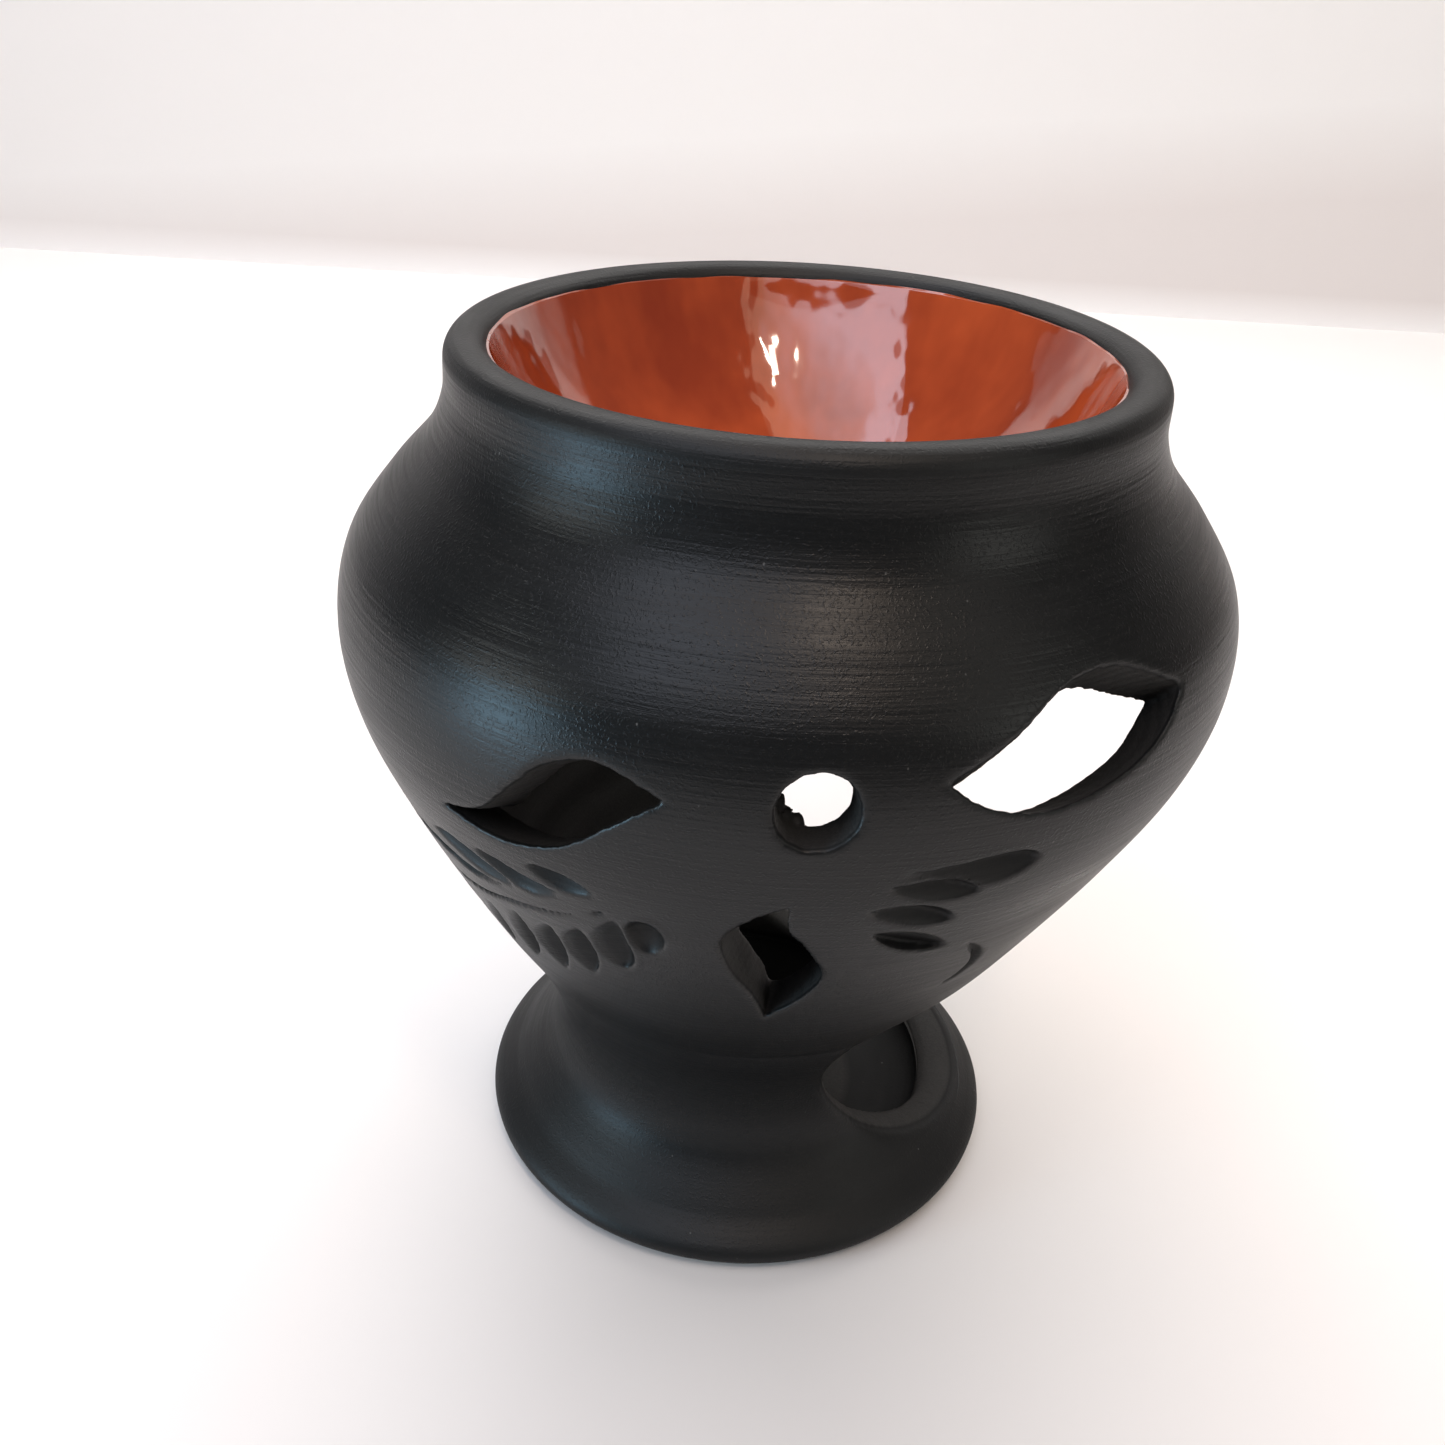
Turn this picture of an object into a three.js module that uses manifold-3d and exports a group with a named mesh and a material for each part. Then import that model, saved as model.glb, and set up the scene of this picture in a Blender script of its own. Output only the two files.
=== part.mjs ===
// An aroma lamp in burnished black clay: a glazed oil bowl held in the mouth of a hollow pot.
// A tealight stands on the pot's floor and is put in through the large door in its side.
// The pot is built up from separate pieces of clay, joined one on top of the other.
//
// Units are millimetres and Z is up. The foot stands on z = 0 and is centred on the Z axis.
// An azimuth is in degrees: 0 faces -Y, and it grows towards +X. The door faces +X.

import * as THREE from "three";
import { mergeVertices } from "three/addons/utils/BufferGeometryUtils.js";
import Module from "manifold-3d";

const wasm = await Module();
wasm.setup();

// ---- Driving dimensions --------------------------------------------------------------------

const potHeight = 110;
const wallThickness = 5;
const bowlThickness = 4.3;
const glazeThickness = 0.5;

// The pot's outer radius at each height, from the foot's edge to the neck under the lip.
const footEdgeHeight = 2.8;
const footRestRadius = 29;
const wallKnots = [
  { height: footEdgeHeight, radius: 35.2 },
  { height: 6.8, radius: 31.4 },
  { height: 13, radius: 26.4 },
  { height: 21, radius: 26.2 },
  { height: 31, radius: 30.1 },
  { height: 41, radius: 36 },
  { height: 51, radius: 41.5 },
  { height: 60.5, radius: 46.3 },
  { height: 70.5, radius: 50.5 },
  { height: 79, radius: 52 },
  { height: 87, radius: 50.7 },
  { height: 93.5, radius: 46.4 },
  { height: 99, radius: 41.7 },
  { height: 103.5, radius: 39.8 },
  { height: 107.6, radius: 39.5 },
];

// Heights of the flat joints where one piece of clay sits on the next.
const floorJoint = 6;
const waistJoint = 33;
const bellyJoint = 60;
const neckJoint = 94;
const lipJoint = 103.5;

// Below the bottom height the foot's wall has its own thickness, and above the top the full one.
const footWall = { thickness: 4, bottom: 8, top: 17 };

// The slab has a raised rim for the wall to stand on. Inside it the rim rounds down into the floor.
const floorTop = 2.4;
const floorRounding = 9;

// The lip is a rolled coil, and the bowl hangs from its inner edge. The bowl's inside is part of a
// ball that touches the lip's round section, so that one runs smoothly into the other.
const lipRadius = 2.43;
const lipCentre = { radius: 37.07, height: potHeight - lipRadius };
const bowlDepth = 24;
const bowlRadius =
  (lipCentre.radius ** 2 + bowlDepth ** 2 - lipRadius ** 2) / (2 * (bowlDepth + lipRadius));
const bowlCentreHeight = lipCentre.height - bowlDepth + bowlRadius;
const rimAngle = Math.asin((bowlCentreHeight - lipCentre.height) / (bowlRadius + lipRadius));
const rimHeight = lipCentre.height + lipRadius * Math.sin(rimAngle);

// Under the neck, a groove between the bowl and the shoulder goes up to this height.
const grooveTop = 98;

// The pot was thrown a little crooked: above the waist it leans towards +X.
const leanStart = 22;
const leanAtTop = 2.3;

// Facets round the pot, and along its outline.
const segmentsRound = 60;
const outlineStep = 5;
const lipSteps = 2;
const neckSteps = 3;
const grooveSteps = 2;
const bowlSteps = 7;

// ---- Openings cut through the wall -----------------------------------------------------------
// Each edge of an opening is a smooth curve through [azimuth, height] points on the outer wall.
// The knife leans, so the hole moves by a few degrees and millimetres on its way in.

const doorAzimuth = 103;
const doorHalfOutline = [
  [0, 6.2], [22, 6.6], [45, 9], [62, 13], [75, 20], [78.5, 27], [72, 34.5], [57, 39.5],
  [43, 47], [30, 58], [18, 69.5], [8, 74.6], [0, 75.5],
];

const rightLeaf = {
  edges: [
    [[17.1, 83.8], [23.5, 86.7], [30.8, 90.2], [38, 91], [43.6, 89.6], [49.2, 87.1]],
    [[49.2, 87.1], [45.2, 83], [38.5, 80.3], [29.5, 79.1], [22, 80.8], [17.1, 83.8]],
  ],
  drift: { azimuth: 2.5, height: -4.2 },
};

const leftLeaf = {
  edges: [
    [[-39.5, 71.2], [-33.5, 73.2], [-28.1, 78.2], [-23.8, 81.8], [-18, 83.2], [-11, 80.8]],
    [[-11, 80.8], [-16.5, 77], [-22, 72.9], [-28, 70.8], [-33.5, 70.4], [-39.5, 71.2]],
  ],
  drift: { azimuth: 0.5, height: -2.3 },
};

const slantedLeaf = {
  edges: [
    [[2.8, 69], [-0.8, 66.8], [-4, 62.6], [-3, 57], [0.5, 51.6], [3.2, 46.2]],
    [[3.2, 46.2], [7.4, 50.6], [9.3, 56], [6.1, 61.6], [3.4, 65.2], [2.8, 69]],
  ],
  drift: { azimuth: 1.6, height: 1.6 },
};

const roundHole = { azimuth: 4.4, height: 81.3, radius: 3.85 };

// ---- Shape of the wall -----------------------------------------------------------------------

// The slope of the outline at a knot, from the knots on either side of it.
function knotSlope(index) {
  const below = wallKnots[Math.max(index - 1, 0)];
  const above = wallKnots[Math.min(index + 1, wallKnots.length - 1)];
  const isWidestRing = index === 0;
  return isWidestRing ? 0 : (above.radius - below.radius) / (above.height - below.height);
}

// The pot's outer radius: a rounded edge under the foot, then a smooth curve through the knots.
function outerRadius(height) {
  if (height < footEdgeHeight) {
    const drop = (footEdgeHeight - height) / footEdgeHeight;
    return footRestRadius + (wallKnots[0].radius - footRestRadius) * Math.sqrt(1 - drop * drop);
  }
  let index = 0;
  while (index < wallKnots.length - 2 && wallKnots[index + 1].height < height) {
    index += 1;
  }
  const low = wallKnots[index];
  const high = wallKnots[index + 1];
  const span = high.height - low.height;
  const t = (height - low.height) / span;
  const startWeight = (1 + 2 * t) * (1 - t) ** 2;
  const endWeight = t * t * (3 - 2 * t);
  const startSlope = knotSlope(index) * span * t * (1 - t) ** 2;
  const endSlope = knotSlope(index + 1) * span * t * t * (t - 1);
  return low.radius * startWeight + high.radius * endWeight + startSlope + endSlope;
}

// The wall is measured square to its outer face. It is thinner where the foot flares.
function innerRadius(height) {
  const probe = 0.5;
  const slope = (outerRadius(height + probe) - outerRadius(height - probe)) / (2 * probe);
  const full = THREE.MathUtils.smoothstep(height, footWall.bottom, footWall.top);
  const thickness = THREE.MathUtils.lerp(footWall.thickness, wallThickness, full);
  return outerRadius(height) - thickness * Math.hypot(1, slope);
}

function heightsBetween(bottom, top) {
  const count = Math.ceil((top - bottom) / outlineStep);
  return Array.from({ length: count + 1 }, (_, i) => bottom + ((top - bottom) * i) / count);
}

// Outline points on the wall's outer or inner face, going up.
function facePoints(radiusAt, bottom, top) {
  return heightsBetween(bottom, top).map((height) => new THREE.Vector2(radiusAt(height), height));
}

// Points on the bowl's inside, or on its underside when a thickness is given.
function bowlPoints(thickness, fromHeight, toHeight, count) {
  const radius = bowlRadius + thickness;
  const startAngle = Math.asin(Math.min((bowlCentreHeight - fromHeight) / radius, 1));
  const endAngle = Math.asin(Math.min((bowlCentreHeight - toHeight) / radius, 1));
  return Array.from({ length: count + 1 }, (_, i) => {
    const angle = startAngle + ((endAngle - startAngle) * i) / count;
    const height = bowlCentreHeight - radius * Math.sin(angle);
    return new THREE.Vector2(radius * Math.cos(angle), height);
  });
}

// ---- From outlines to solids -----------------------------------------------------------------

function solidFrom(geometry) {
  geometry.deleteAttribute("normal");
  geometry.deleteAttribute("uv");
  const merged = mergeVertices(geometry, 1e-4);
  return new wasm.Manifold(
    new wasm.Mesh({
      numProp: 3,
      vertProperties: new Float32Array(merged.attributes.position.array),
      triVerts: new Uint32Array(merged.index.array),
    })
  );
}

function geometryFrom(solid) {
  const { vertProperties, triVerts } = solid.getMesh();
  const geometry = new THREE.BufferGeometry();
  geometry.setAttribute("position", new THREE.BufferAttribute(vertProperties, 3));
  geometry.setIndex(new THREE.BufferAttribute(triVerts, 1));
  return geometry;
}

// Spins an outline round the Z axis, starting at azimuth 0.
function turned(outline) {
  const geometry = new THREE.LatheGeometry(outline, segmentsRound);
  geometry.rotateX(Math.PI / 2);
  return solidFrom(geometry);
}

// A ring of wall between two joints.
function wallRing(bottom, top) {
  const outer = facePoints(outerRadius, bottom, top);
  const inner = facePoints(innerRadius, bottom, top).reverse();
  return turned([...outer, ...inner, outer[0].clone()]);
}

function lean(geometry) {
  const position = geometry.attributes.position;
  for (let i = 0; i < position.count; i += 1) {
    const shift = leanAtTop * THREE.MathUtils.smoothstep(position.getZ(i), leanStart, potHeight);
    position.setX(i, position.getX(i) + shift);
  }
  geometry.computeVertexNormals();
  return geometry;
}

// ---- Cutters for the openings ------------------------------------------------------------------

const cutterInner = 12;
const cutterOuter = 85;
const cutterSteps = 5;
const pointsPerKnot = 2;
const roundHoleSteps = 18;

function smoothEdge(knots) {
  const curve = new THREE.SplineCurve(knots.map(([x, y]) => new THREE.Vector2(x, y)));
  return curve.getPoints((knots.length - 1) * pointsPerKnot);
}

// A cutter whose section is the closed outline in azimuth and height. It runs straight out from
// the pot's axis, and drifts sideways and down as it goes in from the wall's outer face.
function radialCutter(outline, drift = { azimuth: 0, height: 0 }, wallRadius = 1) {
  const shape = new THREE.Shape(outline);
  const options = { depth: cutterOuter - cutterInner, steps: cutterSteps, bevelEnabled: false };
  const geometry = new THREE.ExtrudeGeometry(shape, options);
  const position = geometry.attributes.position;
  for (let i = 0; i < position.count; i += 1) {
    const radius = cutterInner + position.getZ(i);
    const goneIn = (wallRadius - radius) / wallThickness;
    const azimuth = THREE.MathUtils.degToRad(position.getX(i) + drift.azimuth * goneIn);
    const height = position.getY(i) + drift.height * goneIn;
    position.setXYZ(i, radius * Math.sin(azimuth), -radius * Math.cos(azimuth), height);
  }
  return solidFrom(geometry);
}

function leafCutter({ edges, drift }) {
  const outline = edges.flatMap((knots) => smoothEdge(knots).slice(0, -1));
  const middleHeight = outline.reduce((sum, point) => sum + point.y, 0) / outline.length;
  return radialCutter(outline, drift, outerRadius(middleHeight));
}

function roundHoleCutter({ azimuth, height, radius }) {
  const halfWidth = THREE.MathUtils.radToDeg(radius / outerRadius(height));
  const outline = new THREE.EllipseCurve(azimuth, height, halfWidth, radius);
  return radialCutter(outline.getPoints(roundHoleSteps).slice(0, -1));
}

// The door is cut as two halves that overlap a little on its middle line.
function doorCutter() {
  const overlap = 1;
  const halves = [-1, 1].map((side) => {
    const edge = smoothEdge(doorHalfOutline);
    const bottom = edge[0];
    const top = edge[edge.length - 1];
    const middleLine = [new THREE.Vector2(-overlap, top.y), new THREE.Vector2(-overlap, bottom.y)];
    const outline = [...edge, ...middleLine];
    return radialCutter(outline.map(({ x, y }) => new THREE.Vector2(doorAzimuth + side * x, y)));
  });
  return halves[0].add(halves[1]);
}

// ---- The pieces ------------------------------------------------------------------------------

const blackClay = { color: 0x141517, roughness: 0.5, metalness: 0 };
const orangeGlaze = { color: 0xb5441c, roughness: 0.08, metalness: 0 };

const openings = [leafCutter(rightLeaf), leafCutter(leftLeaf), leafCutter(slantedLeaf)];
openings.push(roundHoleCutter(roundHole), doorCutter());

function pierced(solid) {
  return openings.reduce((cut, opening) => cut.subtract(opening), solid);
}

// The floor of the candle chamber, with the foot's rounded edge round it.
function baseSlab() {
  const edgeSteps = 6;
  const roundedEdge = Array.from({ length: edgeSteps + 1 }, (_, i) => {
    const height = footEdgeHeight * (1 - Math.cos((Math.PI / 2) * (i / edgeSteps)));
    return new THREE.Vector2(outerRadius(height), height);
  });
  const flare = facePoints(outerRadius, footEdgeHeight, floorJoint).slice(1);
  const rimSide = Array.from({ length: edgeSteps + 1 }, (_, i) => {
    const turn = (Math.PI / 2) * (i / edgeSteps);
    const radius = innerRadius(floorJoint) - floorRounding * (1 - Math.cos(turn));
    return new THREE.Vector2(radius, floorJoint - (floorJoint - floorTop) * Math.sin(turn));
  });
  const axisBottom = new THREE.Vector2(0, 0);
  const axisTop = new THREE.Vector2(0, floorTop);
  return turned([axisBottom, ...roundedEdge, ...flare, ...rimSide, axisTop]);
}

// The solid ring where the shoulder, the neck and the bowl's wall come together over the groove.
function neckRing() {
  const outer = facePoints(outerRadius, neckJoint, lipJoint);
  const inner = bowlPoints(0, lipJoint, neckJoint, neckSteps);
  const bowlSide = bowlPoints(bowlThickness, neckJoint, grooveTop, grooveSteps);
  const wallSide = facePoints(innerRadius, neckJoint, grooveTop).reverse();
  return turned([...outer, ...inner, ...bowlSide, ...wallSide, outer[0].clone()]);
}

// The rolled lip: straight outside, round over the top, and the bowl's rim inside.
function lipCoil() {
  const outer = facePoints(outerRadius, lipJoint, lipCentre.height);
  const { radius, height } = lipCentre;
  const rollEnd = Math.PI - rimAngle;
  const rollSteps = 8;
  const roll = new THREE.EllipseCurve(radius, height, lipRadius, lipRadius, 0, rollEnd);
  const overTop = roll.getPoints(rollSteps).slice(1, -1);
  const inner = bowlPoints(0, rimHeight, lipJoint, lipSteps);
  return turned([...outer, ...overTop, ...inner, outer[0].clone()]);
}

function oilBowl() {
  const inside = bowlPoints(0, neckJoint, 0, bowlSteps);
  const outside = bowlPoints(bowlThickness, neckJoint, 0, bowlSteps).reverse();
  return turned([...outside, ...inside]);
}

// The glaze covers the whole inside of the bowl, up to the rim.
function bowlGlaze() {
  const glazeSteps = 10;
  const onLip = bowlPoints(0, rimHeight, lipJoint, lipSteps);
  const onNeck = bowlPoints(0, lipJoint, neckJoint, neckSteps).slice(1);
  const onBowl = bowlPoints(0, neckJoint, 0, bowlSteps).slice(1);
  const surface = bowlPoints(-glazeThickness, rimHeight, 0, glazeSteps);
  return turned([...[...onLip, ...onNeck, ...onBowl].reverse(), ...surface]);
}

function piece(name, solid, finish) {
  const mesh = new THREE.Mesh(lean(geometryFrom(solid)), new THREE.MeshStandardMaterial(finish));
  mesh.name = name;
  return mesh;
}

const group = new THREE.Group();
group.add(
  piece("base_slab", baseSlab(), blackClay),
  piece("foot_wall", pierced(wallRing(floorJoint, waistJoint)), blackClay),
  piece("lower_belly_wall", pierced(wallRing(waistJoint, bellyJoint)), blackClay),
  piece("upper_belly_wall", pierced(wallRing(bellyJoint, neckJoint)), blackClay),
  piece("neck_ring", neckRing(), blackClay),
  piece("lip_coil", lipCoil(), blackClay),
  piece("oil_bowl", oilBowl(), blackClay),
  piece("bowl_glaze", bowlGlaze(), orangeGlaze)
);

export default group;
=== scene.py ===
"""An aroma lamp in burnished black clay, with an orange glazed oil bowl, standing on a white table.

The clay wall is made as one skin round a field that says where the clay is: inside it is solid, and
the carved strokes and the cut openings take clay away. It is then cut at the flat joints, so that
each piece of clay is its own closed mesh. The floor slab, the neck, the lip, the bowl and the glaze
are turned on the pot's axis. Shapes are worked out in millimetres and turned into metres at the end.

An azimuth is in degrees: 0 faces -Y, towards the camera, and it grows towards +X.
"""

import math

import bmesh
import bpy
import numpy as np
from mathutils import Matrix, Vector


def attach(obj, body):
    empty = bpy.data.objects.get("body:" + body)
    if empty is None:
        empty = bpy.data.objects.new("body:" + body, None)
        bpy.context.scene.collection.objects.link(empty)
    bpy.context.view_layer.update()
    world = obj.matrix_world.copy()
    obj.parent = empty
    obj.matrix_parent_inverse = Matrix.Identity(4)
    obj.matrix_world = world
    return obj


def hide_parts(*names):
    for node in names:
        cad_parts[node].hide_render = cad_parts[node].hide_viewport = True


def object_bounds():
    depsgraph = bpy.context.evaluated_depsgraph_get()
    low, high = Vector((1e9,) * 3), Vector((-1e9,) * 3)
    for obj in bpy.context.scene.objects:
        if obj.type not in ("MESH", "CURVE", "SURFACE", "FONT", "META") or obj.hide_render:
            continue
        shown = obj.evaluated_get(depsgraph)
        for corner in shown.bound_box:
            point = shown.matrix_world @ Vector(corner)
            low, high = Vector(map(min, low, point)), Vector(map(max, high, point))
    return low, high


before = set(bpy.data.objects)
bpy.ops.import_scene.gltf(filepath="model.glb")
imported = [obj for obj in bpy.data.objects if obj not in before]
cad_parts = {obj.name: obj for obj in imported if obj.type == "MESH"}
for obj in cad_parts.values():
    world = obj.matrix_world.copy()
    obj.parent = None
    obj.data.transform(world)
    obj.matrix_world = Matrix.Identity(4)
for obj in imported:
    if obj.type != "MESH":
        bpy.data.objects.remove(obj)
cad_low, cad_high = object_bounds()

MM = 0.001

# ---- Camera --------------------------------------------------------------------------------------

CAMERA_PLACE = (0.0, -0.1549, 0.1484)
CAMERA_DOWN = 29.62
CAMERA_TURN = -1.75
CAMERA_ROLL = -3.03
CAMERA_LENS = 34.88


def camera_axes():
    """The camera's right, up and forward directions, from how far it looks down, turns and rolls."""
    down, turn, roll = (math.radians(a) for a in (CAMERA_DOWN, CAMERA_TURN, CAMERA_ROLL))
    forward = Vector(
        (math.sin(turn) * math.cos(down), math.cos(turn) * math.cos(down), -math.sin(down))
    )
    level_right = Vector((math.cos(turn), -math.sin(turn), 0))
    level_up = level_right.cross(forward)
    right = math.cos(roll) * level_right - math.sin(roll) * level_up
    up = math.sin(roll) * level_right + math.cos(roll) * level_up
    return right, up, forward


def add_camera():
    data = bpy.data.cameras.new("camera")
    data.lens = CAMERA_LENS
    data.sensor_width = 36
    data.clip_start = 0.01
    data.clip_end = 20
    camera = bpy.data.objects.new("camera", data)
    bpy.context.scene.collection.objects.link(camera)
    right, up, forward = camera_axes()
    rotation = Matrix((right, up, -forward)).transposed()
    camera.matrix_world = Matrix.Translation(CAMERA_PLACE) @ rotation.to_4x4()
    bpy.context.scene.camera = camera
    bpy.context.view_layer.update()


add_camera()

# ---- The pot's outline, as in the CAD part -------------------------------------------------------

POT_HEIGHT = 110
WALL = 5
FOOT_WALL = 4
FOOT_WALL_BOTTOM, FOOT_WALL_TOP = 8, 17
FOOT_EDGE_HEIGHT = 2.8
FOOT_REST_RADIUS = 29
KNOT_HEIGHTS = np.array(
    [2.8, 6.8, 13, 21, 31, 41, 51, 60.5, 70.5, 79, 87, 93.5, 99, 103.5, 107.6]
)
KNOT_RADII = np.array(
    [35.2, 31.4, 26.4, 26.2, 30.1, 36, 41.5, 46.3, 50.5, 52, 50.7, 46.4, 41.7, 39.8, 39.5]
)
FLOOR, WAIST_JOINT, BELLY_JOINT, NECK_JOINT, LIP_JOINT = 6, 33, 60, 94, 103.5
LIP_RADIUS = 2.43
LIP_CENTRE_RADIUS = 37.07
LIP_CENTRE_HEIGHT = POT_HEIGHT - LIP_RADIUS
BOWL_DEPTH = 24
BOWL_THICKNESS = 4.3
BOWL_RADIUS = (LIP_CENTRE_RADIUS**2 + BOWL_DEPTH**2 - LIP_RADIUS**2) / (
    2 * (BOWL_DEPTH + LIP_RADIUS)
)
BOWL_CENTRE_HEIGHT = LIP_CENTRE_HEIGHT - BOWL_DEPTH + BOWL_RADIUS
RIM_ANGLE = math.asin((BOWL_CENTRE_HEIGHT - LIP_CENTRE_HEIGHT) / (BOWL_RADIUS + LIP_RADIUS))
RIM_HEIGHT = LIP_CENTRE_HEIGHT + LIP_RADIUS * math.sin(RIM_ANGLE)
GROOVE_TOP = 98
LEAN_START = 22
LEAN_AT_TOP = 2.3


def knot_slopes():
    rise = KNOT_RADII[2:] - KNOT_RADII[:-2]
    run = KNOT_HEIGHTS[2:] - KNOT_HEIGHTS[:-2]
    last = (KNOT_RADII[-1] - KNOT_RADII[-2]) / (KNOT_HEIGHTS[-1] - KNOT_HEIGHTS[-2])
    return np.concatenate([[0], rise / run, [last]])


KNOT_SLOPES = knot_slopes()


def outer_radius(z):
    """The pot's outer radius at height z: a rounded edge under the foot, then a smooth curve."""
    z = np.asarray(z, float)
    low = np.clip(np.searchsorted(KNOT_HEIGHTS, z) - 1, 0, len(KNOT_HEIGHTS) - 2)
    high = low + 1
    span = KNOT_HEIGHTS[high] - KNOT_HEIGHTS[low]
    t = (z - KNOT_HEIGHTS[low]) / span
    curve = (
        KNOT_RADII[low] * (1 + 2 * t) * (1 - t) ** 2
        + KNOT_RADII[high] * t**2 * (3 - 2 * t)
        + KNOT_SLOPES[low] * span * t * (1 - t) ** 2
        + KNOT_SLOPES[high] * span * t**2 * (t - 1)
    )
    drop = np.clip((FOOT_EDGE_HEIGHT - z) / FOOT_EDGE_HEIGHT, 0, 1)
    edge = FOOT_REST_RADIUS + (KNOT_RADII[0] - FOOT_REST_RADIUS) * np.sqrt(1 - drop**2)
    return np.where(z < FOOT_EDGE_HEIGHT, edge, curve)


def radius_at_depth(depth, z):
    """The radius a given depth inside the wall, measured square to its outer face."""
    probe = 0.5
    slope = (outer_radius(z + probe) - outer_radius(z - probe)) / (2 * probe)
    return outer_radius(z) - depth * np.hypot(1, slope)


def smoothstep(low, high, x):
    t = np.clip((x - low) / (high - low), 0, 1)
    return t * t * (3 - 2 * t)


def wall_thickness(z):
    """The wall's thickness, square to its outer face: it is thinner where the foot flares."""
    return FOOT_WALL + (WALL - FOOT_WALL) * smoothstep(FOOT_WALL_BOTTOM, FOOT_WALL_TOP, z)


def hand_made(points):
    """Takes points of a true turned shape to where the hand-built pot has them: it leans a little
    towards +X, and it isn't quite round."""
    x, y, z = points.T
    around = np.arctan2(x, -y)
    radius = np.hypot(x, y)
    oval, three_sided = 0.12, 0.08
    sides = oval * np.sin(2 * around + 0.8) + three_sided * np.sin(3 * around + 2.1 + z / 40)
    uneven = sides * smoothstep(0, 12, z) * smoothstep(0, 30, radius)
    radius = radius + uneven
    shift = LEAN_AT_TOP * smoothstep(LEAN_START, POT_HEIGHT, z)
    return np.stack([radius * np.sin(around) + shift, -radius * np.cos(around), z], axis=1)


# ---- Meshes --------------------------------------------------------------------------------------


def new_piece(name, points, faces, corner_normals, polish_and_shade):
    """A mesh piece from points in millimetres. Its polish value says how burnished the clay is at each
    point; on the floor's rounding it darkens the clay as painted shade.
    """
    mesh = bpy.data.meshes.new(name)
    mesh.from_pydata((points * MM).tolist(), [], faces)
    mesh.polygons.foreach_set("use_smooth", [True] * len(faces))
    layer = mesh.attributes.new("polish_and_shade", "FLOAT", "POINT")
    layer.data.foreach_set("value", np.asarray(polish_and_shade, np.float32))
    mesh.normals_split_custom_set(corner_normals.tolist())
    mesh.update()
    piece = bpy.data.objects.new(name, mesh)
    bpy.context.scene.collection.objects.link(piece)
    return piece


def on_skin(curve, t, angle):
    """Points in space of a turned outline at t along the outline and at an angle round the pot."""
    radius, height = curve(t, angle)
    points = np.stack([radius * np.sin(angle), -radius * np.cos(angle), height], axis=1)
    return hand_made(points)


def skin_normals(curve, t, angle):
    """The direction straight out of a turned outline's surface."""
    probe = 1e-4
    near_axis = 1e-4

    def off_axis(t, angle):
        radius, height = curve(t, angle)
        return np.maximum(radius, near_axis), height

    along = on_skin(off_axis, t + probe, angle) - on_skin(off_axis, t - probe, angle)
    around = on_skin(off_axis, t, angle + probe) - on_skin(off_axis, t, angle - probe)
    normals = np.cross(around, along)
    return normals / np.linalg.norm(normals, axis=1, keepdims=True)


def turned_piece(name, sections, columns):
    """A closed solid turned on the pot's axis. Each section is a curve from (t, angle) to radius and
    height, how many steps it has, and how burnished it is; on the floor's rounding that value is
    painted shade. One section runs on from the next: up the outside, in over the top, down the
    inside and out again."""
    angles = 2 * np.pi * np.arange(columns) / columns
    points, normals, faces, polish_and_shade = [], [], [], []
    start = 0
    for curve, steps, shine_and_shade in sections:
        grid = np.meshgrid(np.linspace(0, 1, steps + 1), angles, indexing="ij")
        t, angle = (values.ravel() for values in grid)
        points.append(on_skin(curve, t, angle))
        normals.append(skin_normals(curve, t, angle))
        polish_and_shade.append(np.full(len(t), shine_and_shade))
        row = start + columns * np.arange(steps)[:, None]
        column = np.arange(columns)[None, :]
        after = (column + 1) % columns
        corners = [row + column, row + after, row + after + columns, row + column + columns]
        faces.append(np.stack(corners, axis=-1).reshape(-1, 4))
        start += len(t)
    return welded(name, *(np.concatenate(part) for part in (points, normals, faces, polish_and_shade)))


def welded(name, points, normals, faces, polish_and_shade):
    """Joins points that lie in one place. Each face corner keeps its own normal."""
    places_per_mm = 1e4
    keys = np.round(points * places_per_mm).astype(np.int64)
    _, first, place = np.unique(keys, axis=0, return_index=True, return_inverse=True)
    place = place.ravel()
    clean_faces, clean_normals = [], []
    for face in faces:
        corners = place[face]
        kept = [i for i in range(4) if corners[i] != corners[i - 1]]
        if len(kept) > 2:
            clean_faces.append([int(corners[i]) for i in kept])
            clean_normals.extend(normals[face[i]] for i in kept)
    return new_piece(name, points[first], clean_faces, np.array(clean_normals), polish_and_shade[first])


# ---- Openings and carving in the wall ------------------------------------------------------------
# All points are (azimuth, height). A leaning knife makes a hole drift on its way in.

# The door's outline is symmetrical: half of it is given, as (degrees from its middle, height).
DOOR_AZIMUTH = 103
DOOR_HALF = [
    (0, 6.9), (22, 7.2), (45, 9.2), (62, 13), (75, 20), (78.5, 27), (72, 34.5), (57, 39.5),
    (43, 47), (30, 58), (18, 69.5), (8, 74.6), (0, 75.5),
]
RIGHT_LEAF = [
    [(17.1, 83.8), (23.5, 86.7), (30.8, 90.2), (38, 91), (43.6, 89.6), (49.2, 87.1)],
    [(49.2, 87.1), (45.2, 83), (38.5, 80.3), (29.5, 79.1), (22, 80.8), (17.1, 83.8)],
]
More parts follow.
